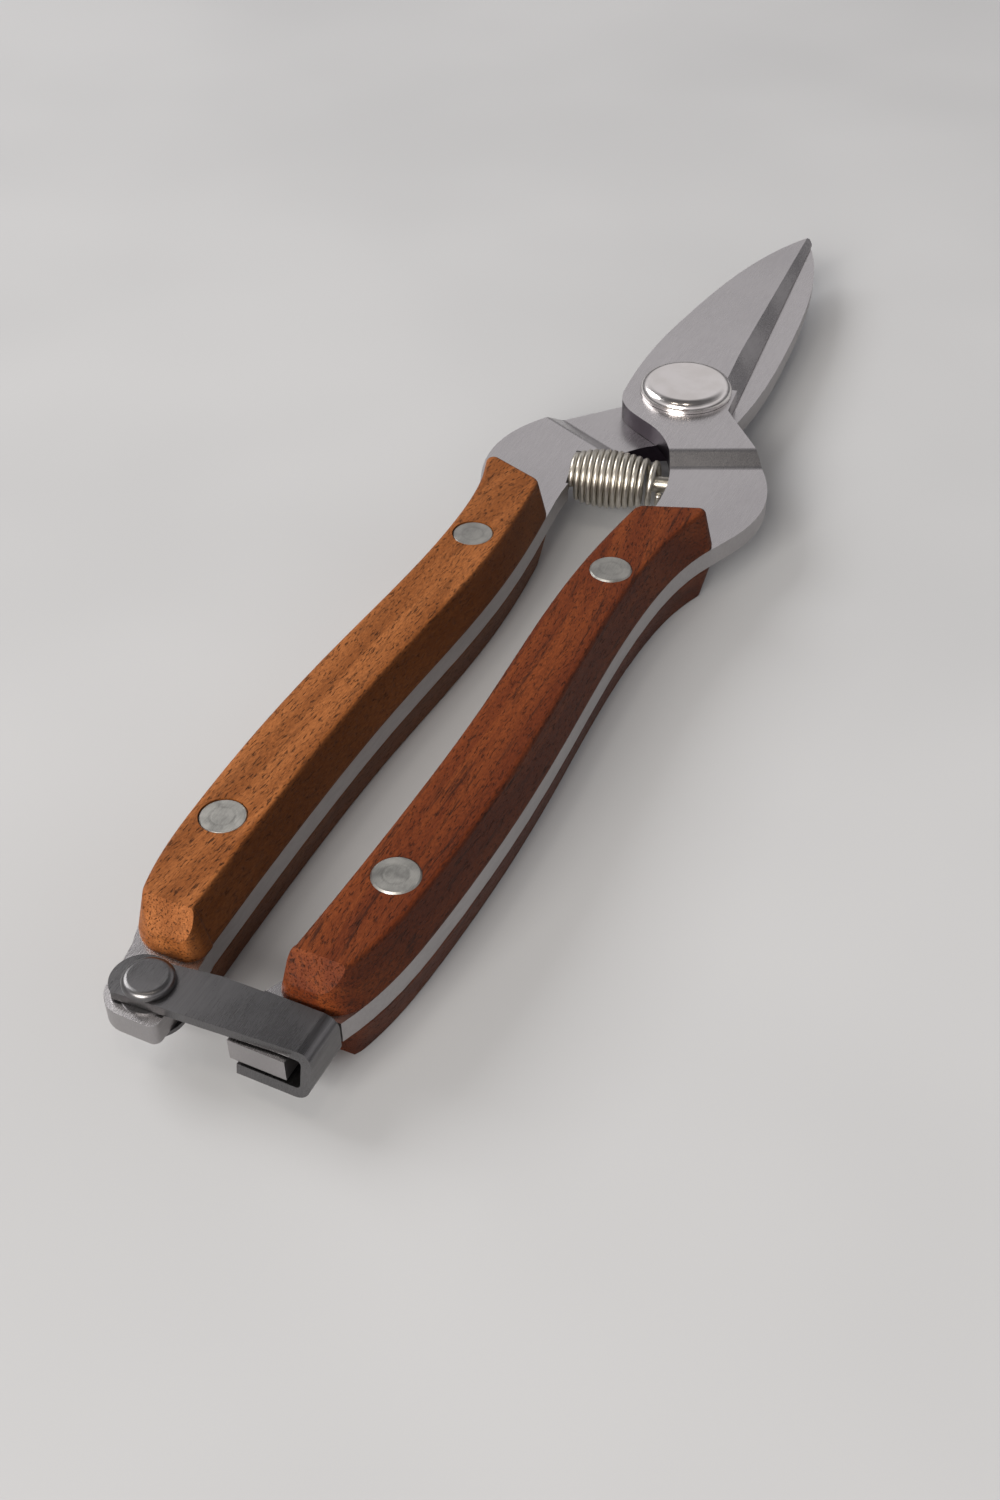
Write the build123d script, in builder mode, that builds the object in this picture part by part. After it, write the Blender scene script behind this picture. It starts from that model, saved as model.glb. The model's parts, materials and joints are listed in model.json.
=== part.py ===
from build123d import *
import math
import os

# Pruning shears, in millimetres. +Y points to the blade tips, +X to the right handle, +Z up.
# The closed shears lie on the flat undersides of the lower scales, so the floor is z = 0.
# The origin is the middle of the closed shears' footprint, on the floor.
# Plan shapes are drawn about the pivot for the right half; the left half mirrors them.

# Plates: each half is one flat blank, bent by half its thickness at the joggle
blade_reach = 57.0  # pivot to blade tip
tang_reach = 127.8  # pivot to the end of the left tang's tab
plate_thick = 2.6
blade_gap = 0.06  # running gap between the two blades
joggle_start = 15.6  # from the pivot, along the joggle's direction
joggle_end = 18.2
joggle_angle = 25  # degrees outside of straight back
joggle_bend = 1.6
edge_heel = (6.6, 3.0)  # heel of the cutting edge
edge_tip = (0.55, 56.5)
bevel_wide = 2.1
edge_land = 0.35  # thickness left at the cutting edge
thin_start = 14.0  # where the blade starts to thin towards its tip
tip_thick = 1.3

# Scales
scale_thick = 5.3
scale_lean = 13  # degrees that the sides lean in
lean_high = 5.0  # height over which they lean
scale_end = 119.7  # pivot to the rear end
end_facet_top = 117.2
end_facet_drop = 3.7
scale_soft = 0.6

# Handle rivets: a head with a pin on top, pressed into a head with a tube from below
rivet_places = {"front": (9.2, -49.4), "rear": (10.0, -105.0)}
rivet_head_r = 2.58
rivet_head_deep = 1.5
rivet_tube_r = 1.6
rivet_pin_r = 1.0
rivet_pin_foot = 3.0  # height at which the pin ends
rivet_rise = {1: 0.16, -1: -0.1}  # heads stand proud on the right, sit low on the left
under_rivet_sink = 0.06
head_soft = 0.2

# Pivot
pivot_head_r = 6.5
pivot_head_high = 1.5
pivot_head_soft = 1.35
pivot_shank_r = 3.2
pivot_clear = 0.05  # running fit of the turning half
pivot_washer_r = 5.6
pivot_washer_thick = 0.4
pivot_nut_r = 4.8
pivot_nut_high = 1.9
pivot_nut_soft = 0.9
nut_slot_wide = 1.2
nut_slot_deep = 0.7

# Spring: a close-wound barrel with a few open coils at its right end, on two pegs
spring_left = (-7.6, -23.0)
spring_right = (4.1, -20.2)
wire_d = 0.8
close_pitch = 0.84
open_pitch = 1.35
close_turns = 11
open_turns = 2
turn_points = 8
belly_r = 3.55  # to the middle of the wire
end_r = 2.6
seat_half = 4.1  # half width of the spring's seat in the left plate
seat_deep = 5.0
peg_r = 1.1
peg_out = 3.0
peg_in = 2.0
right_peg_back = 1.3  # from the spring's end to the right plate's edge

# Latch: a strap on the left tang, folded into a hook around the right tang
latch_pin_at = (-6.7, -124.0)
latch_thick = 1.1
latch_lobe = [(-6.2, -121.3), (-10.7, -124.1), (-9.4, -126.6)]
latch_neck = (-0.7, -120.5)  # where the strap reaches its full width
latch_front = -120.25
latch_rear = -125.2
hook_inside_x = 10.8
hook_leg_x = 3.9
hook_leg_rear = -126.4
hook_gap = 0.3  # between the hook's lower leg and the tang
hook_bend = 1.6
washer_r = 3.0
washer_thick = 0.2
latch_head_r = 2.65
latch_head_high = 0.85
latch_head_soft = 0.7
latch_pin_r = 1.5
turn_clear = 0.05
found_within = 0.05  # how near an edge must lie to count as being at a place
tail_washer_r = 3.4
tail_washer_thick = 0.5
tail_r = 2.3
tail_high = 0.9

# Worked out
pivot_y = (tang_reach - blade_reach) / 2
handle_thick = plate_thick + 2 * scale_thick
mid_z = handle_thick / 2
tang_low_z = scale_thick
tang_high_z = scale_thick + plate_thick
blade_in = blade_gap / 2  # each blade's inner face, from the middle
blade_out = blade_in + plate_thick
latch_low_z = tang_high_z + washer_thick + turn_clear
latch_high_z = latch_low_z + latch_thick
hook_high_z = tang_low_z - hook_gap
hook_low_z = hook_high_z - latch_thick
hook_outside_x = hook_inside_x + latch_thick
wide = 2 * tang_reach  # longer than anything it cuts

# Rough corners of a scale and the radius that eases each
scale_corners = [((17.3, -30.3), 2.0), ((6.0, -34.0), 2.8), ((12.0, -119.7), 4.2), ((4.35, -119.7), 2.0)]

# Plan of the right half, about the pivot
spine = [(0.0, 57.0), (-2.7, 51.0), (-5.7, 40.0), (-7.9, 23.0), (-8.7, 6.0), (-7.9, -4.2)]
inner_side = [
    (-7.9, -4.2),
    (-5.0, -8.4),
    (-0.2, -11.2),
    (3.5, -15.4),
    (5.4, -20.0),
    (6.3, -27.0),
    (5.4, -37.0),
    (4.3, -50.0),
    (4.3, -61.0),
    (5.1, -78.0),
    (5.2, -95.0),
    (4.5, -116.5),
]
outer_side = [
    (11.8, -119.8),
    (13.4, -114.8),
    (14.7, -104.0),
    (15.1, -90.0),
    (14.7, -76.0),
    (13.7, -58.0),
    (13.8, -46.0),
    (15.7, -35.0),
    (18.6, -27.5),
    (19.1, -20.5),
    (16.6, -13.8),
    (11.6, -7.5),
    (7.3, -2.6),
]
right_tab = [(4.5, -116.5), (3.1, -119.8), (3.1, -126.0), (9.3, -126.0), (9.3, -119.8), (11.8, -119.8)]
left_tab = [
    (4.5, -116.5),
    (3.8, -121.8),
    (3.8, -tang_reach),
    (11.1, -tang_reach),
    (11.1, -123.5),
    (11.8, -119.8),
]
left_tab_corners = [(left_tab[2], 0.8), (left_tab[3], 3.2)]
wood_window = [(30.0, -25.1), (-2.0, -37.2), (-2.0, -60.0), (4.35, -116.0), (4.35, -119.7), (30.0, -119.7)]

os.makedirs("parts", exist_ok=True)


def sided(points, side):
    """Points of the right half (side 1), or mirrored to the left half (side -1)."""
    return [(side * x, y) for x, y in points]


def plan(height):
    """Horizontal work plane with its origin on the pivot's axis."""
    return Plane((0, pivot_y, height))


def at_pivot(x, y, z):
    """A point given about the pivot, in the model's frame."""
    return Vector(x, y + pivot_y, z)


def save(piece, label):
    piece.part.label = label
    export_step(piece.part, f"parts/{label}.step")


def blank_outline(side):
    """Plan of one half's blank: blade, shoulder, tang, and a square or rounded tab."""
    with BuildSketch() as blank:
        with BuildLine():
            Spline(*sided(spine, side))
            Spline(*sided(inner_side, side))
            Polyline(*sided(right_tab if side > 0 else left_tab, side))
            Spline(*sided(outer_side, side))
            Polyline(*sided([outer_side[-1], edge_heel, edge_tip, spine[0]], side))
        make_face()
        if side < 0:
            for corner, radius in left_tab_corners:
                at = Vector(*sided([corner], side)[0])
                fillet(blank.vertices().sort_by_distance(at)[0], radius)
    return blank.sketch


def wood_outline():
    """Plan of a right scale: the blank between the front cut and the rear end, corners eased."""
    with BuildSketch() as wood:
        add(blank_outline(1))
        with BuildLine():
            Polyline(*wood_window, close=True)
        make_face(mode=Mode.INTERSECT)
        for corner, radius in scale_corners:
            fillet(wood.vertices().sort_by_distance(Vector(*corner))[0], radius)
    return wood.sketch


def joggle_plane(side):
    """Upright plane along the joggle's direction, through the pivot; its x runs backwards, y up."""
    turn = math.radians(joggle_angle)
    back = Vector(side * math.sin(turn), -math.cos(turn), 0)
    return Plane(at_pivot(0, 0, 0), x_dir=back, z_dir=back.cross(Vector(0, 0, 1)))


def sheet_section(side):
    """The bent blank seen from the side: blade level, joggle, tang level."""
    low = mid_z + blade_in if side > 0 else mid_z - blade_out
    high = low + plate_thick
    return [
        (-wide, low),
        (joggle_start, low),
        (joggle_end, tang_low_z),
        (wide, tang_low_z),
        (wide, tang_high_z),
        (joggle_end, tang_high_z),
        (joggle_start, high),
        (-wide, high),
    ]


def edge_plane(side):
    """Plane across the cutting edge at its heel: x runs into the blade, y to its outer face."""
    heel = at_pivot(side * edge_heel[0], edge_heel[1], mid_z)
    tip = at_pivot(side * edge_tip[0], edge_tip[1], mid_z)
    along = (tip - heel).normalized()
    return Plane(heel, x_dir=Vector(0, 0, side).cross(along), z_dir=along)


def build_blade(side):
    """One half's plate: blank, joggle, ground bevel, thinned tip and the holes that both share."""
    blank = blank_outline(side)
    with BuildPart() as plate:
        with BuildSketch(plan(0)):
            add(blank)
        extrude(amount=handle_thick)
        with BuildSketch(joggle_plane(side)) as sheet:
            with BuildLine():
                Polyline(*sheet_section(side), close=True)
            make_face()
            fillet(sheet.vertices().filter_by_position(Axis.X, joggle_start - 1, joggle_end + 1), joggle_bend)
        extrude(amount=wide, both=True, mode=Mode.INTERSECT)
        with BuildSketch(edge_plane(side)):
            with BuildLine():
                Polyline(
                    (0, blade_in + edge_land),
                    (bevel_wide, blade_out),
                    (bevel_wide, blade_out + 1),
                    (-3, blade_out + 1),
                    (-3, blade_in + edge_land),
                    close=True,
                )
            make_face()
        extrude(amount=blade_reach, mode=Mode.SUBTRACT)
        with BuildSketch(Plane.YZ):
            with BuildLine():
                Polyline(
                    (pivot_y + thin_start, mid_z + side * blade_out),
                    (pivot_y + blade_reach, mid_z + side * (blade_in + tip_thick)),
                    (pivot_y + blade_reach + 1, mid_z + side * (blade_in + tip_thick)),
                    (pivot_y + blade_reach + 1, mid_z + side * blade_out),
                    close=True,
                )
            make_face()
        extrude(amount=pivot_head_r * 2, both=True, mode=Mode.SUBTRACT)
        with BuildSketch(plan(0)):
            with Locations(*sided(rivet_places.values(), side)):
                Circle(rivet_tube_r)
            Circle(pivot_shank_r + (pivot_clear if side > 0 else 0))
        extrude(amount=handle_thick, mode=Mode.SUBTRACT)
    return plate


spring_a = at_pivot(*spring_left, mid_z)
spring_b = at_pivot(*spring_right, mid_z)
spring_way = (spring_b - spring_a).normalized()
right_seat = spring_b + spring_way * right_peg_back


def across_spring(point, toward):
    """Plane square to the spring's axis at a point, facing along it (1) or back (-1)."""
    return Plane(point, x_dir=(0, 0, 1), z_dir=spring_way * toward)


with BuildPart() as upper_blade:
    add(build_blade(1).part)
    with BuildSketch(across_spring(right_seat - spring_way * peg_r, 1)):
        Circle(peg_r)
    extrude(amount=peg_r + peg_in, mode=Mode.SUBTRACT)
save(upper_blade, "upper_blade")

with BuildPart() as lower_blade:
    add(build_blade(-1).part)
    with BuildSketch(across_spring(spring_a, 1)):
        Rectangle(handle_thick, 2 * seat_half)
    extrude(amount=seat_deep, mode=Mode.SUBTRACT)
    with BuildSketch(across_spring(spring_a, -1)):
        Circle(peg_r)
    extrude(amount=peg_in, mode=Mode.SUBTRACT)
    with BuildSketch(plan(0)):
        with Locations(latch_pin_at):
            Circle(latch_pin_r)
    extrude(amount=handle_thick, mode=Mode.SUBTRACT)
save(lower_blade, "lower_blade")


def blank_scale():
    """The scale on top of the right tang, before its rivet holes are drilled."""
    with BuildPart() as scale:
        with BuildSketch(plan(tang_high_z)):
            add(wood_outline())
        extrude(amount=scale_thick, dir=(0, 0, 1))
        top = scale.faces().sort_by(Axis.Z)[-1]
        lean_in = lean_high * math.tan(math.radians(scale_lean))
        chamfer(top.edges(), lean_in, lean_high, reference=top)
        fillet(scale.faces().sort_by(Axis.Z)[-1].edges(), scale_soft)
        with BuildSketch(Plane.YZ):
            with BuildLine():
                Polyline(
                    (pivot_y - end_facet_top, handle_thick),
                    (pivot_y - scale_end, handle_thick - end_facet_drop),
                    (pivot_y - scale_end - 1, handle_thick - end_facet_drop),
                    (pivot_y - scale_end - 1, handle_thick + 1),
                    (pivot_y - end_facet_top, handle_thick + 1),
                    close=True,
                )
            make_face()
        extrude(amount=wide, both=True, mode=Mode.SUBTRACT)
    return scale.part


plain_scale = blank_scale()


def build_scale(side, on_top):
    """A scale with its rivet holes: a through hole, and a recess that the head fills."""
    blank = plain_scale if side > 0 else mirror(plain_scale, about=Plane.YZ, mode=Mode.PRIVATE)
    if not on_top:
        blank = mirror(blank, about=Plane.XY.offset(mid_z), mode=Mode.PRIVATE)
    recess_z = handle_thick + rivet_rise[side] - rivet_head_deep if on_top else 0
    recess_deep = wide if on_top else under_rivet_sink + rivet_head_deep
    with BuildPart() as scale:
        add(blank)
        with BuildSketch(plan(0)):
            with Locations(*sided(rivet_places.values(), side)):
                Circle(rivet_tube_r)
        extrude(amount=handle_thick, mode=Mode.SUBTRACT)
        with BuildSketch(plan(recess_z)):
            with Locations(*sided(rivet_places.values(), side)):
                Circle(rivet_head_r)
        extrude(amount=recess_deep, mode=Mode.SUBTRACT)
    return scale


for side, hand in ((1, "right"), (-1, "left")):
    for on_top, place in ((True, "top"), (False, "bottom")):
        save(build_scale(side, on_top), f"{hand}_scale_{place}")


def build_rivet_top(side, x, y):
    """Upper half of a handle rivet: a flat head and the pin that is pressed into the tube."""
    under_head = handle_thick + rivet_rise[side] - rivet_head_deep
    with BuildPart() as rivet:
        with BuildSketch(plan(under_head)):
            with Locations((side * x, y)):
                Circle(rivet_head_r)
        extrude(amount=rivet_head_deep)
        chamfer(rivet.edges().sort_by(Axis.Z)[-1], head_soft)
        with BuildSketch(plan(rivet_pin_foot)):
            with Locations((side * x, y)):
                Circle(rivet_pin_r)
        extrude(amount=under_head - rivet_pin_foot)
    return rivet


def build_rivet_below(side, x, y):
    """Lower half of a handle rivet: a flat head and the tube that reaches up through the tang."""
    over_head = under_rivet_sink + rivet_head_deep
    tube_end = handle_thick + rivet_rise[side] - rivet_head_deep - head_soft
    with BuildPart() as rivet:
        with BuildSketch(plan(under_rivet_sink)):
            with Locations((side * x, y)):
                Circle(rivet_head_r)
        extrude(amount=rivet_head_deep)
        chamfer(rivet.edges().sort_by(Axis.Z)[0], head_soft)
        with BuildSketch(plan(over_head)):
            with Locations((side * x, y)):
                Circle(rivet_tube_r)
                Circle(rivet_pin_r, mode=Mode.SUBTRACT)
        extrude(amount=tube_end - over_head)
    return rivet


for side, hand in ((1, "right"), (-1, "left")):
    for place, (x, y) in rivet_places.items():
        save(build_rivet_top(side, x, y), f"{hand}_{place}_rivet_top")
        save(build_rivet_below(side, x, y), f"{hand}_{place}_rivet_bottom")

# Pivot: a bolt with a low domed head, a washer below and a slotted nut
nut_top_z = mid_z - blade_out - pivot_washer_thick
nut_low_z = nut_top_z - pivot_nut_high
head_low_z = mid_z + blade_out + pivot_clear
with BuildPart() as pivot_bolt:
    with BuildSketch(plan(head_low_z)):
        Circle(pivot_head_r)
    extrude(amount=pivot_head_high)
    fillet(pivot_bolt.edges().sort_by(Axis.Z)[-1], pivot_head_soft)
    with BuildSketch(plan(nut_low_z + nut_slot_deep)):
        Circle(pivot_shank_r)
    extrude(amount=head_low_z - nut_low_z - nut_slot_deep)
save(pivot_bolt, "pivot_bolt")

with BuildPart() as pivot_washer:
    with BuildSketch(plan(nut_top_z)):
        Circle(pivot_washer_r)
        Circle(pivot_shank_r, mode=Mode.SUBTRACT)
    extrude(amount=pivot_washer_thick)
save(pivot_washer, "pivot_washer")

with BuildPart() as pivot_nut:
    with BuildSketch(plan(nut_low_z)):
        Circle(pivot_nut_r)
    extrude(amount=pivot_nut_high)
    fillet(pivot_nut.edges().sort_by(Axis.Z)[0], pivot_nut_soft)
    with BuildSketch(plan(nut_low_z)):
        Rectangle(2 * pivot_nut_r, nut_slot_wide)
    extrude(amount=nut_slot_deep, mode=Mode.SUBTRACT)
    with BuildSketch(plan(nut_low_z)):
        Circle(pivot_shank_r)
    extrude(amount=pivot_nut_high, mode=Mode.SUBTRACT)
save(pivot_nut, "pivot_nut")


def build_peg(seat, toward):
    """A peg pressed into the edge of a plate, standing out along the spring's axis."""
    with BuildPart() as peg:
        with BuildSketch(across_spring(seat - spring_way * (toward * peg_in), toward)):
            Circle(peg_r)
        extrude(amount=peg_in + peg_out)
        tip = peg.faces().sort_by(Axis(seat, spring_way * toward))[-1]
        chamfer(tip.edges(), peg_r / 4)
    return peg


save(build_peg(spring_a, 1), "spring_peg_left")
save(build_peg(right_seat, -1), "spring_peg_right")


def spring_point(turn):
    """The wire's middle after so many turns: close coils that swell to a belly, then open ones."""
    turns = close_turns + open_turns
    along = close_pitch * min(turn, close_turns) + open_pitch * max(turn - close_turns, 0)
    swell = math.sin(math.pi * (turn / turns) ** 0.8)
    reach = end_r + (belly_r - end_r) * swell
    turned = math.tau * turn
    start = spring_a + spring_way * (wire_d / 2)
    across = spring_way.cross(Vector(0, 0, 1)) * (reach * math.cos(turned))
    return start + spring_way * along + across + Vector(0, 0, reach * math.sin(turned))


with BuildPart() as spring:
    turn_steps = (close_turns + open_turns) * turn_points
    with BuildLine() as wire_line:
        Spline(*[spring_point(step / turn_points) for step in range(turn_steps + 1)])
    with BuildSketch(Plane(wire_line.line @ 0, z_dir=wire_line.line % 0)):
        Circle(wire_d / 2)
    sweep(path=wire_line.line)
save(spring, "spring")

# Latch: a flat strap with a round lobe, its right end folded down and back under the tang
latch_y = pivot_y + latch_front
with BuildPart() as latch:
    with BuildSketch(plan(latch_low_z)):
        with BuildLine():
            Polyline(
                latch_lobe[-1],
                (hook_outside_x, latch_rear),
                (hook_outside_x, latch_front),
                latch_neck,
                latch_lobe[0],
            )
            ThreePointArc(*latch_lobe)
        make_face()
    extrude(amount=latch_thick)
    with BuildSketch(Plane.YZ.offset(hook_leg_x)):
        with BuildLine():
            Polyline(
                (latch_y, hook_low_z),
                (latch_y, latch_high_z),
                (pivot_y + latch_rear, latch_high_z),
                (pivot_y + hook_leg_rear, hook_low_z),
                close=True,
            )
        make_face()
    extrude(amount=hook_outside_x - hook_leg_x)
    with BuildSketch(Plane.YZ.offset(hook_leg_x)):
        with Locations((latch_y, (hook_high_z + latch_low_z) / 2)):
            Rectangle(handle_thick * 2, latch_low_z - hook_high_z)
    extrude(amount=hook_inside_x - hook_leg_x, mode=Mode.SUBTRACT)
    outer_bends = latch.edges().filter_by(Axis.Y).group_by(Axis.X)[-1]
    fillet(outer_bends, hook_bend)
    inner_bends = latch.edges().filter_by(Axis.Y).filter_by_position(
        Axis.X, hook_inside_x - found_within, hook_inside_x + found_within
    )
    fillet(inner_bends, hook_bend - latch_thick)
    with BuildSketch(plan(latch_low_z)):
        with Locations(latch_pin_at):
            Circle(latch_pin_r + turn_clear)
    extrude(amount=latch_thick, mode=Mode.SUBTRACT)
save(latch, "latch")


def build_washer(low_z, outer_r, thick):
    """A washer around the latch's rivet."""
    with BuildPart() as ring:
        with BuildSketch(plan(low_z)):
            with Locations(latch_pin_at):
                Circle(outer_r)
                Circle(latch_pin_r, mode=Mode.SUBTRACT)
        extrude(amount=thick)
    return ring


tail_top_z = tang_low_z - tail_washer_thick
save(build_washer(tang_high_z, washer_r, washer_thick), "latch_washer")
save(build_washer(tail_top_z, tail_washer_r, tail_washer_thick), "latch_tail_washer")

with BuildPart() as latch_rivet:
    with BuildSketch(plan(latch_high_z + turn_clear)):
        with Locations(latch_pin_at):
            Circle(latch_head_r)
    extrude(amount=latch_head_high)
    fillet(latch_rivet.edges().sort_by(Axis.Z)[-1], latch_head_soft)
    with BuildSketch(plan(tail_top_z)):
        with Locations(latch_pin_at):
            Circle(latch_pin_r)
    extrude(amount=latch_high_z + turn_clear - tail_top_z)
    with BuildSketch(plan(tail_top_z - tail_high)):
        with Locations(latch_pin_at):
            Circle(tail_r)
    extrude(amount=tail_high)
    chamfer(latch_rivet.edges().sort_by(Axis.Z)[0], tail_high / 2)
save(latch_rivet, "latch_rivet")
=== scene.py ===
import bpy
import json
import math
import numpy as np
from mathutils import Matrix, Vector

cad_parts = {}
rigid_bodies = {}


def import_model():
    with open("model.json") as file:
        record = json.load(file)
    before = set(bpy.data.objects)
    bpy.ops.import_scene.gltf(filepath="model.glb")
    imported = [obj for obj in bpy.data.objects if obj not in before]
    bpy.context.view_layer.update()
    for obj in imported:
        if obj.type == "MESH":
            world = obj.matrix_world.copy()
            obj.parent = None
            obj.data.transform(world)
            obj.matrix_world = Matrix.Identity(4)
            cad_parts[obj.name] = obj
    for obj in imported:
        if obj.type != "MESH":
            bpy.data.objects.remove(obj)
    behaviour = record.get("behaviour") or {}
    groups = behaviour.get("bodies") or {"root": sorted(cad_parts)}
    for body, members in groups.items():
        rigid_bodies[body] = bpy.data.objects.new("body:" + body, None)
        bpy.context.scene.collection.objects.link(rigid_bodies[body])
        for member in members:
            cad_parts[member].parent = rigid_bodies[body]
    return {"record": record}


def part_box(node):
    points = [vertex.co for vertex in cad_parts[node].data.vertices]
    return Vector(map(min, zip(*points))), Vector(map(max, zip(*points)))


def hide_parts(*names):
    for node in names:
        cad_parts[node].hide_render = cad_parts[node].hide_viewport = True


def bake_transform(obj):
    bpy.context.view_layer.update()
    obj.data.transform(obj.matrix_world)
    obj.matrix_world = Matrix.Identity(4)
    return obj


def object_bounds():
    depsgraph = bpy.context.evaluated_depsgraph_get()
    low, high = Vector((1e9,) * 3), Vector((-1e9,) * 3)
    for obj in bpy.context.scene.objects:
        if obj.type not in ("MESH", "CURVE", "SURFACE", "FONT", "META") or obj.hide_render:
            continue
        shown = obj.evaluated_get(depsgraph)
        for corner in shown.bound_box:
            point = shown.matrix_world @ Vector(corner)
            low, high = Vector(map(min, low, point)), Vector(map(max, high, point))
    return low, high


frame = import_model()
cadLow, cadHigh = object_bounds()  # the CAD box, in metres
mm = 0.001


# middle of a CAD node's box
def middle(node):
    low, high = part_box(node)
    return (low + high) / 2


pivot = middle("pivot_bolt")

# the shears are seen from the near right, looking down over the latch
cameraLook = dict(
    across=71.0 * mm,  # from the pivot, over the floor
    back=-205.2 * mm,
    height=134.1 * mm,
    turn=26.28,  # degrees to the left of the blades' direction
    tilt=41.84,  # degrees down
    roll=-0.86,
    lens=41.16,
)


def placeCamera(look):
    data = bpy.data.cameras.new("camera")
    data.lens = look["lens"]
    data.clip_start = 0.005
    camera = bpy.data.objects.new("camera", data)
    bpy.context.scene.collection.objects.link(camera)
    turned = Matrix.Rotation(math.radians(look["turn"]), 4, "Z")
    tilted = Matrix.Rotation(math.radians(90 - look["tilt"]), 4, "X")
    rolled = Matrix.Rotation(math.radians(look["roll"]), 4, "Z")
    at = Vector((pivot.x + look["across"], pivot.y + look["back"], look["height"]))
    camera.matrix_world = Matrix.Translation(at) @ turned @ tilted @ rolled
    bpy.context.scene.camera = camera


placeCamera(cameraLook)
print("camera placed")


# a shader socket that takes part in sums like a number
class Wire:
    def __init__(self, tree, socket):
        self.tree = tree
        self.socket = socket

    def math(self, operation, *values):
        return self.tree.add("ShaderNodeMath", dict(operation=operation), values)

    def __add__(self, other):
        return self.math("ADD", self, other)

    def __radd__(self, other):
        return self.math("ADD", other, self)

    def __sub__(self, other):
        return self.math("SUBTRACT", self, other)

    def __rsub__(self, other):
        return self.math("SUBTRACT", other, self)

    def __mul__(self, other):
        return self.math("MULTIPLY", self, other)

    def __rmul__(self, other):
        return self.math("MULTIPLY", other, self)

    def __truediv__(self, other):
        return self.math("DIVIDE", self, other)

    def __rtruediv__(self, other):
        return self.math("DIVIDE", other, self)

    def __pow__(self, other):
        return self.math("POWER", self, other)

    def __rpow__(self, other):
        return self.math("POWER", other, self)

    def __abs__(self):
        return self.math("ABSOLUTE", self)

    def least(self, other):
        return self.math("MINIMUM", self, other)

    def sine(self):
        return self.math("SINE", self)

    # smooth step from toLow to toHigh while this goes from low to high
    def between(self, low, high, toLow=0.0, toHigh=1.0):
        settings = dict(interpolation_type="SMOOTHSTEP")
        return self.tree.add("ShaderNodeMapRange", settings, (self, low, high, toLow, toHigh))


# a node tree that is filled by one method, add
class Tree:
    def __init__(self, nodeTree):
        self.nodeTree = nodeTree
        nodeTree.nodes.clear()

    def add(self, kind, settings=(), values=(), out=0):
        node = self.nodeTree.nodes.new(kind)
        for name, value in dict(settings).items():
            if name == "stops":
                ramp = node.color_ramp
                while len(ramp.elements) < len(value):
                    ramp.elements.new(0.5)
                for element, (at, colour) in zip(ramp.elements, value):
                    element.position = at
                    element.color = (*colour, 1.0)
            else:
                setattr(node, name, value)
        pairs = values.items() if isinstance(values, dict) else enumerate(values)
        for key, value in pairs:
            if isinstance(value, Wire):
                self.nodeTree.links.new(value.socket, node.inputs[key])
            elif value is not None:
                node.inputs[key].default_value = value
        return Wire(self, node.outputs[out]) if node.outputs else None

    def mixColour(self, factor, first, second, blend="MIX"):
        values = {0: factor, 6: first, 7: second}
        for key in (6, 7):
            if not isinstance(values[key], Wire):
                values[key] = (*values[key], 1.0)
        return self.add("ShaderNodeMix", dict(data_type="RGBA", blend_type=blend), values, 2)

    # object coordinates in millimetres, turned and stretched
    def place(self, scale=(1, 1, 1), turn=(0, 0, 0), shift=(0, 0, 0)):
        here = self.add("ShaderNodeTexCoord", out=3)
        values = dict(Vector=here, Location=shift, Rotation=turn, Scale=[1000 * s for s in scale])
        return self.add("ShaderNodeMapping", dict(vector_type="POINT"), values)

    def noise(self, where, scale=1.0, detail=3.0, rough=0.5, bend=0.0):
        values = dict(Vector=where, Scale=scale, Detail=detail, Roughness=rough, Distortion=bend)
        return self.add("ShaderNodeTexNoise", dict(noise_dimensions="3D"), values)

    def split(self, vector):
        node = self.add("ShaderNodeSeparateXYZ", (), (vector,)).socket.node
        return [Wire(self, socket) for socket in node.outputs]


# a material: build(tree) gives what varies, fixed gives what is the same all over
def finish(name, build, **fixed):
    material = bpy.data.materials.new(name)
    material.use_nodes = True
    tree = Tree(material.node_tree)
    shader = material.node_tree.nodes.new("ShaderNodeBsdfPrincipled")
    output = material.node_tree.nodes.new("ShaderNodeOutputMaterial")
    material.node_tree.links.new(shader.outputs[0], output.inputs[0])
    for key, value in fixed.items():
        shader.inputs[key.replace("_", " ")].default_value = value
    made = build(tree)
    bump = made.pop("bump", None)
    if bump:
        height, depth = bump
        values = dict(Height=height, Strength=1.0, Distance=depth)
        made["Normal"] = tree.add("ShaderNodeBump", (), values)
    for key, wire in made.items():
        material.node_tree.links.new(wire.socket, shader.inputs[key])
    return material


bladeSteelLook = dict(
    pale=(0.60, 0.58, 0.585),
    dark=(0.48, 0.462, 0.468),
    roughLow=0.22,
    roughHigh=0.34,
    brushTurn=(0, 0, 0.5),
    scratchDepth=0.004 * mm,
)


# The sheared edges of the plates are duller than the faces. At the neck, below the pivot and
# within inside of the middle, they get a painted shade, the shadow of the upper blade's neck, as far as reach
# from the pivot.
dullEdgeAndNeckShadeLook = dict(
    dull=0.4,
    reach=17.0,
    inside=8.0,
    soft=1.5,
    colour=(0.16, 0.15, 0.15),
    # colour of the painted shade cast by the upper blade's neck
    scale=(0.03, 0.022, 0.03),
)
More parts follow.
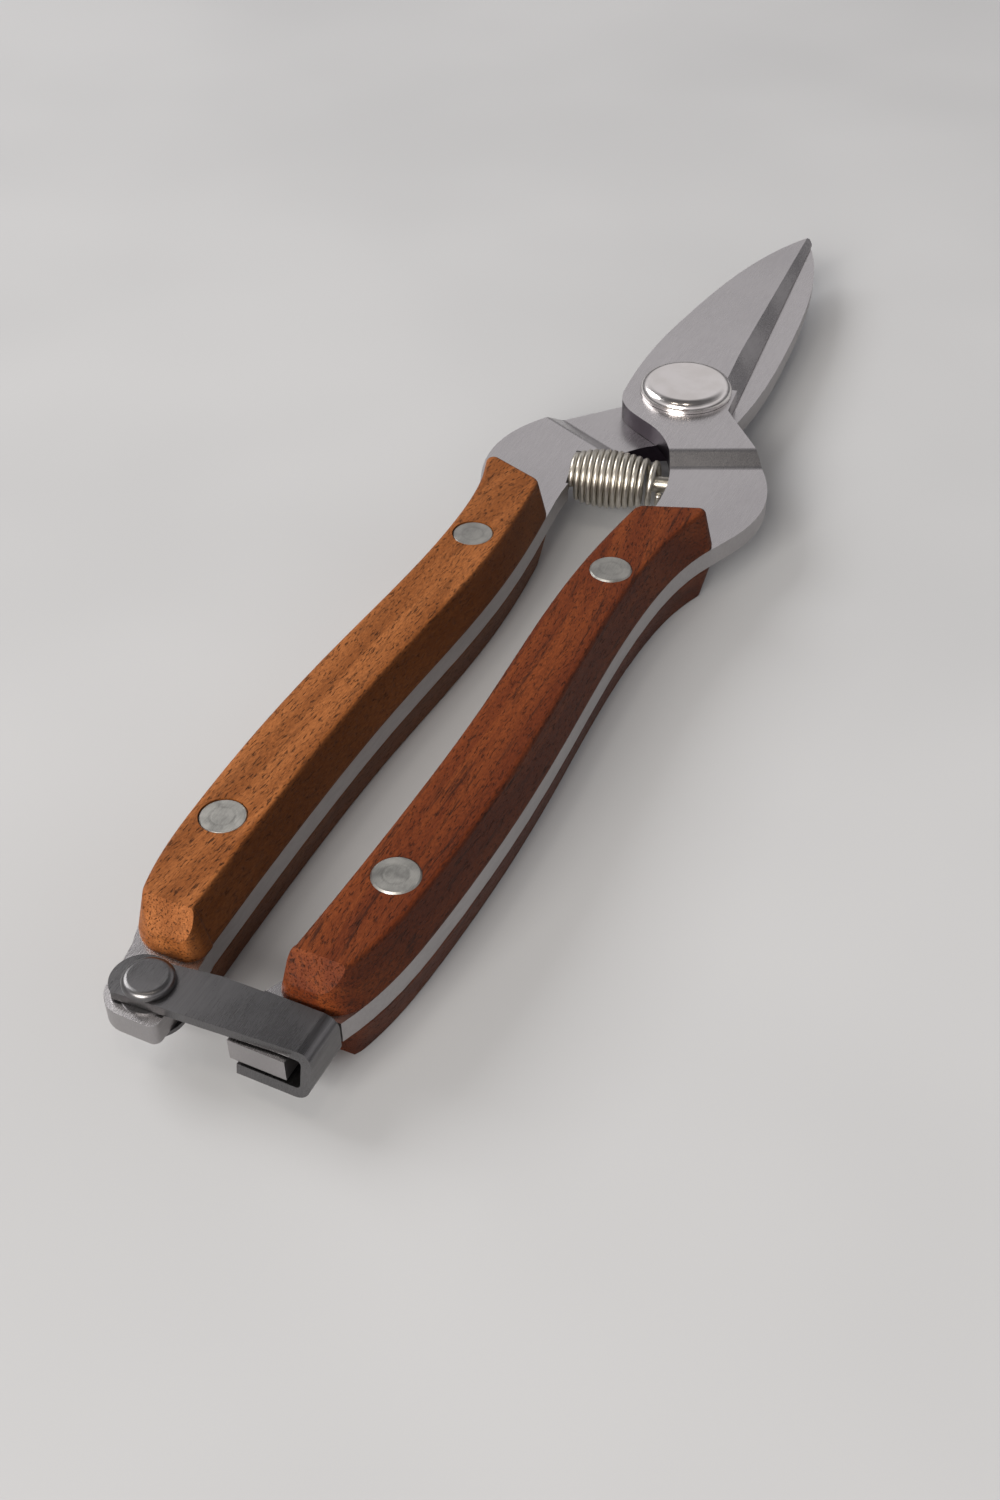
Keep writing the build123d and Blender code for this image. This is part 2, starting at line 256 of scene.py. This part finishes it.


# tone = 0.45 of long fine brushing + 0.55 of broad clouds; duller edges and the painted neck shade are mixed
# in where asked
def brushedSteel(look, edgesAndShade=None):
    def build(tree):
        brushed = tree.noise(tree.place((9, 0.35, 2), look["brushTurn"]), detail=4, rough=0.65)
        cloudy = tree.noise(tree.place((0.09, 0.09, 0.09)), detail=3)
        fine = tree.noise(tree.place((22, 1.2, 6), look["brushTurn"]), detail=2)
        tone = (brushed * 0.45 + cloudy * 0.55).between(0.32, 0.68)
        rough = (cloudy * 0.6 + fine * 0.4).between(0.3, 0.7, look["roughLow"], look["roughHigh"])
        colour = tree.mixColour(tone, look["dark"], look["pale"])
        # dull = 1 on upright faces; painted shade of the upper blade's neck = dull, near the pivot, below it
        # and close to the middle
        if edgesAndShade:
            x, y, z = tree.split(tree.place((1, 1, 1)))
            upright = 1 - abs(tree.split(tree.add("ShaderNodeTexCoord", out=1))[2]).between(0.45, 0.7)
            across = ((x - pivot.x / mm) ** 2 + (y - pivot.y / mm) ** 2) ** 0.5
            nearby = 1 - across.between(edgesAndShade["reach"] - edgesAndShade["soft"], edgesAndShade["reach"] + edgesAndShade["soft"])
            sideways = abs(x - pivot.x / mm)
            inner = 1 - sideways.between(edgesAndShade["inside"] - edgesAndShade["soft"], edgesAndShade["inside"] + edgesAndShade["soft"])
            below = (pivot.y / mm - y).between(0, 2)
            colour = tree.mixColour(upright * edgesAndShade["dull"], colour, edgesAndShade["colour"])
            # painted shade of the upper blade's neck on upright faces near the pivot
            colour = tree.mixColour(upright * nearby * inner * below, colour, edgesAndShade["scale"])
            rough = rough + upright * 0.15
        return {
            "Base Color": colour,
            "Roughness": rough,
            "bump": (brushed + fine * 0.5, look["scratchDepth"]),
        }

    return build


bladeSteel = finish("blade steel", brushedSteel(bladeSteelLook, dullEdgeAndNeckShadeLook), Metallic=1.0)
latchSteelLook = dict(
    bladeSteelLook,
    pale=(0.19, 0.185, 0.188),
    dark=(0.13, 0.128, 0.13),
    brushTurn=(0, 0, 1.5),  # brushed across, along the strap
    roughLow=0.24,
    roughHigh=0.36,
)
latchSteel = finish("latch steel", brushedSteel(latchSteelLook), Metallic=1.0)

headLook = dict(
    pale=(0.78, 0.75, 0.74),
    dark=(0.66, 0.63, 0.61),
    ringWide=0.22,  # mm from one turning ring to the next
    ringDepth=0.0006 * mm,
    roughLow=0.12,
    roughHigh=0.2,
)


# rings = sine of the way out from the axis, once per ringWide, with a slow wobble
def turnedSteel(look, at):
    def build(tree):
        x, y, z = tree.split(tree.place((1, 1, 1)))
        across = ((x - at.x / mm) ** 2 + (y - at.y / mm) ** 2) ** 0.5
        wobble = tree.noise(tree.place((0.5, 0.5, 0.5)), detail=2)
        rings = (across * (math.tau / look["ringWide"]) + wobble * 6).sine()
        cloudy = tree.noise(tree.place((0.3, 0.3, 0.3)), detail=3)
        tone = (rings * 0.1 + cloudy).between(0.3, 0.7)
        rough = cloudy.between(0.3, 0.7, look["roughLow"], look["roughHigh"])
        return {
            "Base Color": tree.mixColour(tone, look["dark"], look["pale"]),
            "Roughness": rough,
            "bump": (rings, look["ringDepth"]),
        }

    return build


pivotSteel = finish("polished steel", turnedSteel(headLook, pivot), Metallic=1.0)

rivetLook = dict(
    pale=(0.47, 0.46, 0.43),
    dark=(0.30, 0.295, 0.275),
    scratchDepth=0.008 * mm,
    roughLow=0.34,
    roughHigh=0.5,
)


# flush ground heads: tone = scratches one way + clouds - a faint ring where the pin was pressed
# - darker towards the rim, both by the way out from the nearest rivet's axis
def groundRivets(look):
    front, rear = middle("right_front_rivet_top"), middle("right_rear_rivet_top")

    def build(tree):
        x, y, z = tree.split(tree.place((1, 1, 1)))
        away = []
        for at in (front, rear):
            away.append(((abs(x) - at.x / mm) ** 2 + (y - at.y / mm) ** 2) ** 0.5)
        across = away[0].least(away[1])
        ring = across.between(1.1, 1.3) * (1 - across.between(1.35, 1.6))
        edge = across.between(2.1, 2.5)
        scratched = tree.noise(tree.place((10, 0.9, 3), (0, 0, 0.9)), detail=4, rough=0.7)
        cloudy = tree.noise(tree.place((0.45, 0.45, 0.45)), detail=4, rough=0.6)
        tone = (scratched * 0.4 + cloudy * 0.6 - ring * 0.06 - edge * 0.08).between(0.3, 0.65)
        rough = cloudy.between(0.3, 0.7, look["roughLow"], look["roughHigh"])
        return {
            "Base Color": tree.mixColour(tone, look["dark"], look["pale"]),
            "Roughness": rough,
            "bump": (scratched - ring * 0.8, look["scratchDepth"]),
        }

    return build


rivetSteel = finish("rivet steel", groundRivets(rivetLook), Metallic=1.0)

wireLook = dict(
    pale=(0.66, 0.625, 0.56),
    dark=(0.50, 0.47, 0.41),
    grainDepth=0.003 * mm,
    roughLow=0.28,
    roughHigh=0.4,
)


# tone = broad clouds; fine grain sets how rough the wire is and its small dents
def drawnWire(look):
    def build(tree):
        cloudy = tree.noise(tree.place((0.6, 0.6, 0.6)), detail=3)
        fine = tree.noise(tree.place((5, 5, 5)), detail=3)
        return {
            "Base Color": tree.mixColour(cloudy.between(0.3, 0.7), look["dark"], look["pale"]),
            "Roughness": fine.between(0.3, 0.7, look["roughLow"], look["roughHigh"]),
            "bump": (fine, look["grainDepth"]),
        }

    return build


springSteel = finish("spring wire", drawnWire(wireLook), Metallic=1.0)

brownWoodLook = dict(
    light=(0.37, 0.130, 0.038),
    middle=(0.25, 0.080, 0.020),
    dark=(0.075, 0.026, 0.008),
    pore=(0.030, 0.012, 0.005),
    streaks=0.4,
    pores=0.8,
    # painted shade: the side that faces +X is darkened in colour
    paintedShadeSide=0.72,  # how dark the side that faces +X is
    turn=(0.03, 0.02, 0.05),
    shift=(3.0, 11.0, 5.0),
)
redWoodLook = dict(
    light=(0.20, 0.048, 0.012),
    middle=(0.125, 0.026, 0.007),
    dark=(0.034, 0.010, 0.005),
    pore=(0.015, 0.006, 0.004),
    streaks=0.9,
    pores=0.6,
    paintedShadeSide=0.55,
    turn=(0.02, -0.02, -0.06),
    shift=(41.0, 7.0, 15.0),
)


# straight grain along the handles: tone = broad figure + faint rings + long streaks, then dark
# streaks, short open pores and a painted shade on the side that faces +X are laid over it, and fine grain
# multiplies it all
def oiledWood(look):
    def build(tree):
        bent = tree.noise(tree.place((0.02, 0.02, 0.02), shift=look["shift"]), detail=1)
        x, y, z = tree.split(tree.place((1, 1, 1), look["turn"], look["shift"]))
        wave = (bent - 0.5) * 7
        grain = tree.add("ShaderNodeCombineXYZ", (), (x + wave, y * 0.055, z + wave * 0.5))
        figure = tree.noise(grain, 0.42, detail=4, rough=0.55, bend=0.4)
        rings = ((x + wave * 1.4 + z * 0.6) * 1.5 + figure * 9).sine()
        streak = tree.noise(grain, 1.7, detail=6, rough=0.66, bend=0.2)
        poreRun = tree.add("ShaderNodeCombineXYZ", (), (x + wave, y * 0.2, z))
        pore = tree.noise(poreRun, 4.8, detail=3, rough=0.6).between(0.555, 0.66)
        fine = tree.noise(poreRun, 8.0, detail=4, rough=0.7)
        tone = (figure * 0.75 + rings * 0.07 + streak * 0.25).between(0.38, 0.66)
        colour = tree.mixColour(tone, look["middle"], look["light"])
        streakMask = streak.between(0.52, 0.68) * look["streaks"]
        colour = tree.mixColour(streakMask, colour, look["dark"])
        colour = tree.mixColour(pore * look["pores"], colour, look["pore"])
        # painted shade on faces turned towards +X, with the figure breaking up its edge
        facing = tree.split(tree.add("ShaderNodeTexCoord", out=1))[0]
        side = (facing + (figure - 0.5) * 0.5).between(0.35, 0.8) * look["paintedShadeSide"]
        colour = tree.mixColour(side, colour, look["dark"])
        speckle = tree.mixColour(fine.between(0.3, 0.7), (0.62, 0.58, 0.54), (1.12, 1.12, 1.12))
        colour = tree.mixColour(1.0, colour, speckle, "MULTIPLY")
        return {
            "Base Color": colour,
            "Roughness": (fine * 0.6 + pore * 0.4).between(0.2, 0.9, 0.5, 0.7),
            "bump": (fine * 0.35 - pore * 1.0 + streak * 0.3, 0.05 * mm),
        }

    return build


brownWood = finish("brown wood", oiledWood(brownWoodLook), Specular_IOR_Level=0.12)
redWood = finish("red wood", oiledWood(redWoodLook), Specular_IOR_Level=0.12)

finishOf = {
    "blade_steel": bladeSteel,
    "polished_steel": pivotSteel,
    "spring_wire": springSteel,
    "latch_steel": latchSteel,
    "rivet_steel": rivetSteel,
    "red_wood": redWood,
    "brown_wood": brownWood,
}
for row in frame["record"]["subparts"]:
    nodeObject = bpy.data.objects[row["node"]]
    nodeObject.data.materials.clear()
    nodeObject.data.materials.append(finishOf[row["material_slot"]])
print("finishes made")

springLook = dict(
    wire=0.8 * mm,
    closePitch=0.84 * mm,
    openPitch=1.35 * mm,
    closeTurns=11,
    openTurns=2,
    belly=3.55 * mm,
    barrelLean=0.8,  # puts the widest turn nearer to the left end
    end=2.6 * mm,
    pegMiddle=0.5 * mm,  # from the spring's end to its left peg's middle
    stepsPerTurn=36,
    stepsAround=12,
)


# a mesh from a grid of points: rows along, columns around and closed, with capped ends
def surfaceMesh(name, grid):
    rows, columns = grid.shape[:2]
    number = np.arange(rows * columns).reshape(rows, columns)
    after = np.roll(number, -1, axis=1)
    faces = np.stack([number[:-1], after[:-1], after[1:], number[1:]], -1).reshape(-1, 4).tolist()
    faces.append(number[0, ::-1].tolist())
    faces.append(number[-1].tolist())
    mesh = bpy.data.meshes.new(name)
    mesh.from_pydata(grid.reshape(-1, 3).tolist(), [], faces)
    mesh.shade_smooth()
    piece = bpy.data.objects.new(name, mesh)
    bpy.context.scene.collection.objects.link(piece)
    return piece


# round wire wound on a barrel: the wire's middle runs at radius end + (belly - end) x sine of
# pi x t^barrelLean round the axis, t from 0 to 1, and rises by closePitch a turn, then openPitch
def coilSpring(look):
    left, right = middle("spring_peg_left"), middle("spring_peg_right")
    way = np.array((right - left).normalized())
    start = np.array(left) - way * look["pegMiddle"]
    side = np.cross(way, (0, 0, 1))
    turns = look["closeTurns"] + look["openTurns"]
    turn = np.linspace(0, turns, turns * look["stepsPerTurn"] + 1)
    rise = look["closePitch"] * np.minimum(turn, look["closeTurns"])
    rise = rise + look["openPitch"] * np.maximum(turn - look["closeTurns"], 0) + look["wire"] / 2
    reach = look["end"] + (look["belly"] - look["end"]) * np.sin(np.pi * (turn / turns) ** look["barrelLean"])
    angle = math.tau * turn
    outward = np.cos(angle)[:, None] * side + np.sin(angle)[:, None] * np.array((0, 0, 1.0))
    path = start + rise[:, None] * way + reach[:, None] * outward
    along = np.gradient(path, axis=0)
    along /= np.linalg.norm(along, axis=1)[:, None]
    first = outward - (outward * along).sum(1)[:, None] * along
    first /= np.linalg.norm(first, axis=1)[:, None]
    second = np.cross(along, first)
    around = math.tau * np.arange(look["stepsAround"]) / look["stepsAround"]
    ring = np.cos(around)[None, :, None] * first[:, None] + np.sin(around)[None, :, None] * second[:, None]
    piece = surfaceMesh("coil_spring", path[:, None] + look["wire"] / 2 * ring)
    piece.data.materials.append(springSteel)
    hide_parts("spring")
    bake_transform(piece)


coilSpring(springLook)
print("spring wound")

floorLook = dict(size=3.0, below=0.02 * mm, pale=(0.53, 0.535, 0.545), shade=(0.49, 0.495, 0.505))


# tone = very broad soft clouds
def layFloor(look):
    half = look["size"] / 2
    low = cadLow.z - look["below"]
    mesh = bpy.data.meshes.new("floor")
    corners = [(-half, -half, low), (half, -half, low), (half, half, low), (-half, half, low)]
    mesh.from_pydata(corners, [], [(0, 1, 2, 3)])
    floor = bpy.data.objects.new("floor", mesh)
    bpy.context.scene.collection.objects.link(floor)

    def build(tree):
        cloudy = tree.noise(tree.place((0.012, 0.012, 0.012)), detail=2)
        return {"Base Color": tree.mixColour(cloudy.between(0.3, 0.7), look["shade"], look["pale"])}

    mesh.materials.append(finish("floor", build, Roughness=0.9, Specular_IOR_Level=0.2))


layFloor(floorLook)

skyLook = dict(
    strength=1.0,
    stops=[
        (0.0, (0.10, 0.095, 0.10)),
        (0.22, (0.22, 0.215, 0.22)),
        (0.42, (0.78, 0.76, 0.77)),
        (0.56, (0.70, 0.68, 0.69)),
        (0.66, (0.42, 0.41, 0.415)),
        (0.77, (0.24, 0.235, 0.24)),
        (0.87, (0.12, 0.117, 0.12)),
        (1.0, (0.14, 0.138, 0.14)),
    ],
)


# soft room light by height alone: dark at the horizon, bright half way up, dark overhead
def hangSky(look):
    world = bpy.data.worlds.new("room")
    bpy.context.scene.world = world
    world.use_nodes = True
    tree = Tree(world.node_tree)
    height = tree.split(tree.add("ShaderNodeTexCoord", out=0))[2]
    colour = tree.add("ShaderNodeValToRGB", dict(stops=look["stops"]), (height,))
    light = tree.add("ShaderNodeBackground", (), dict(Color=colour, Strength=look["strength"]))
    tree.add("ShaderNodeOutputWorld", (), (light,))


hangSky(skyLook)

lamps = {
    "window": dict(at=(-1.1, 0.15, 0.95), size=(0.8, 0.7), power=10.0, colour=(1.0, 0.99, 0.98)),
    "near": dict(at=(-0.05, -1.1, 0.6), size=(0.7, 0.5), power=16.0, colour=(1.0, 0.96, 0.9)),
    "spot": dict(at=(0.12, -0.25, 1.1), size=(0.12, 0.12), power=0.5, colour=(1.0, 0.9, 0.78)),
    "other spot": dict(at=(-0.2, -0.35, 1.1), size=(0.12, 0.12), power=0.5, colour=(1.0, 0.9, 0.78)),
}


def hangLamp(name, look):
    data = bpy.data.lights.new(name, "AREA")
    data.shape = "RECTANGLE"
    data.size, data.size_y = look["size"]
    data.energy = look["power"]
    data.color = look["colour"]
    lamp = bpy.data.objects.new(name, data)
    bpy.context.scene.collection.objects.link(lamp)
    at = Vector(look["at"])
    lamp.matrix_world = Matrix.Translation(at) @ (-at).to_track_quat("-Z", "Y").to_matrix().to_4x4()


for lampName, lampLook in lamps.items():
    hangLamp(lampName, lampLook)
bpy.context.scene.view_settings.view_transform = "Standard"
print("floor and light ready")
